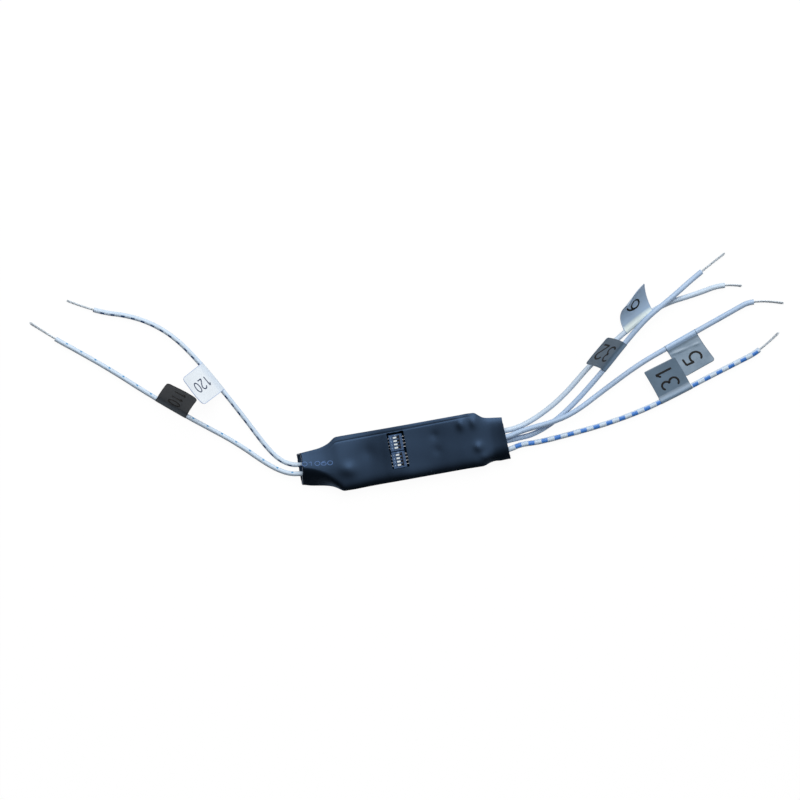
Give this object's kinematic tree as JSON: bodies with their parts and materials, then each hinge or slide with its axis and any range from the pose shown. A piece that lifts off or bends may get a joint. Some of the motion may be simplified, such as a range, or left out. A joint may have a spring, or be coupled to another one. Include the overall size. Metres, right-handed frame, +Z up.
{
  "type": "alarm expansion module",
  "caption": "Small circuit board sealed in a black heat-shrink sleeve, with slide switches in a window and flagged bare-ended leads at both ends.",
  "frame": {"origin": "bottom centre of the heat-shrink sleeve, on the surface that it lies on", "axes": "+X along the sleeve towards the four zone leads, +Y across it towards the side that the leads bend to, +Z up, out of the switch window"},
  "size_m": [0.28, 0.0892, 0.0132],
  "materials": {
    "black_heat_shrink": "shrunk polyolefin film, satin",
    "board_laminate": "solder-masked glass laminate",
    "switch_moulding": "moulded heat-resistant nylon",
    "slider_nylon": "moulded white nylon",
    "gilt_spring": "gold-plated spring strip",
    "tinned_metal": "tin-plated strip",
    "solder": "reflowed solder",
    "black_moulding": "moulded epoxy",
    "tan_ceramic": "sintered ceramic",
    "yellow_moulding": "moulded epoxy",
    "white_insulation": "extruded vinyl, satin",
    "tinned_strand": "tinned copper strands",
    "dark_label_film": "matt film",
    "white_label_film": "satin film",
    "grey_label_film": "satin film"
  },
  "bodies": {
    "module": {"heat_shrink_sleeve": "black_heat_shrink", "circuit_board": "board_laminate", "switch_a_base": "switch_moulding", "switch_a_cover": "switch_moulding", "switch_a_terminals": "tinned_metal", "switch_b_base": "switch_moulding", "switch_b_cover": "switch_moulding", "switch_b_terminals": "tinned_metal", "microcontroller_body": "black_moulding", "microcontroller_pins": "tinned_metal", "bridge_rectifier_body": "black_moulding", "bridge_rectifier_pins": "tinned_metal", "voltage_regulator_body": "black_moulding", "voltage_regulator_pins": "tinned_metal", "bus_transistor_body": "black_moulding", "bus_transistor_pins": "tinned_metal", "surge_suppressor": "black_moulding", "zone_diodes": "black_moulding", "chip_resistors": "black_moulding", "ceramic_capacitors": "tan_ceramic", "tantalum_capacitors": "yellow_moulding", "bus_plus_conductor": "tinned_strand", "bus_plus_insulation": "white_insulation", "bus_plus_flag": "dark_label_film", "bus_minus_conductor": "tinned_strand", "bus_minus_insulation": "white_insulation", "bus_minus_flag": "white_label_film", "zone_1_conductor": "tinned_strand", "zone_1_insulation": "white_insulation", "zone_1_flag": "grey_label_film", "ground_1_conductor": "tinned_strand", "ground_1_insulation": "white_insulation", "ground_1_flag": "grey_label_film", "zone_2_conductor": "tinned_strand", "zone_2_insulation": "white_insulation", "zone_2_flag": "grey_label_film", "ground_2_conductor": "tinned_strand", "ground_2_insulation": "white_insulation", "ground_2_flag": "grey_label_film", "solder_joints": "solder"},
    "switch_a_way_1": {"switch_a_slider_1": "slider_nylon", "switch_a_contact_1": "gilt_spring"},
    "switch_a_way_2": {"switch_a_slider_2": "slider_nylon", "switch_a_contact_2": "gilt_spring"},
    "switch_a_way_3": {"switch_a_slider_3": "slider_nylon", "switch_a_contact_3": "gilt_spring"},
    "switch_a_way_4": {"switch_a_slider_4": "slider_nylon", "switch_a_contact_4": "gilt_spring"},
    "switch_b_way_1": {"switch_b_slider_1": "slider_nylon", "switch_b_contact_1": "gilt_spring"},
    "switch_b_way_2": {"switch_b_slider_2": "slider_nylon", "switch_b_contact_2": "gilt_spring"},
    "switch_b_way_3": {"switch_b_slider_3": "slider_nylon", "switch_b_contact_3": "gilt_spring"},
    "switch_b_way_4": {"switch_b_slider_4": "slider_nylon", "switch_b_contact_4": "gilt_spring"}
  },
  "joints": [
    {"name": "switch_a_slide_1", "type": "slide", "parent": "module", "child": "switch_a_way_1", "axis": [1, 0, 0], "range_m": [0, 0.0009]},
    {"name": "switch_a_slide_2", "type": "slide", "parent": "module", "child": "switch_a_way_2", "axis": [1, 0, 0], "range_m": [0, 0.0009]},
    {"name": "switch_a_slide_3", "type": "slide", "parent": "module", "child": "switch_a_way_3", "axis": [1, 0, 0], "range_m": [0, 0.0009]},
    {"name": "switch_a_slide_4", "type": "slide", "parent": "module", "child": "switch_a_way_4", "axis": [1, 0, 0], "range_m": [0, 0.0009]},
    {"name": "switch_b_slide_1", "type": "slide", "parent": "module", "child": "switch_b_way_1", "axis": [1, 0, 0], "range_m": [0, 0.0009]},
    {"name": "switch_b_slide_2", "type": "slide", "parent": "module", "child": "switch_b_way_2", "axis": [1, 0, 0], "range_m": [0, 0.0009]},
    {"name": "switch_b_slide_3", "type": "slide", "parent": "module", "child": "switch_b_way_3", "axis": [1, 0, 0], "range_m": [0, 0.0009]},
    {"name": "switch_b_slide_4", "type": "slide", "parent": "module", "child": "switch_b_way_4", "axis": [1, 0, 0], "range_m": [0, 0.0009]}
  ]
}
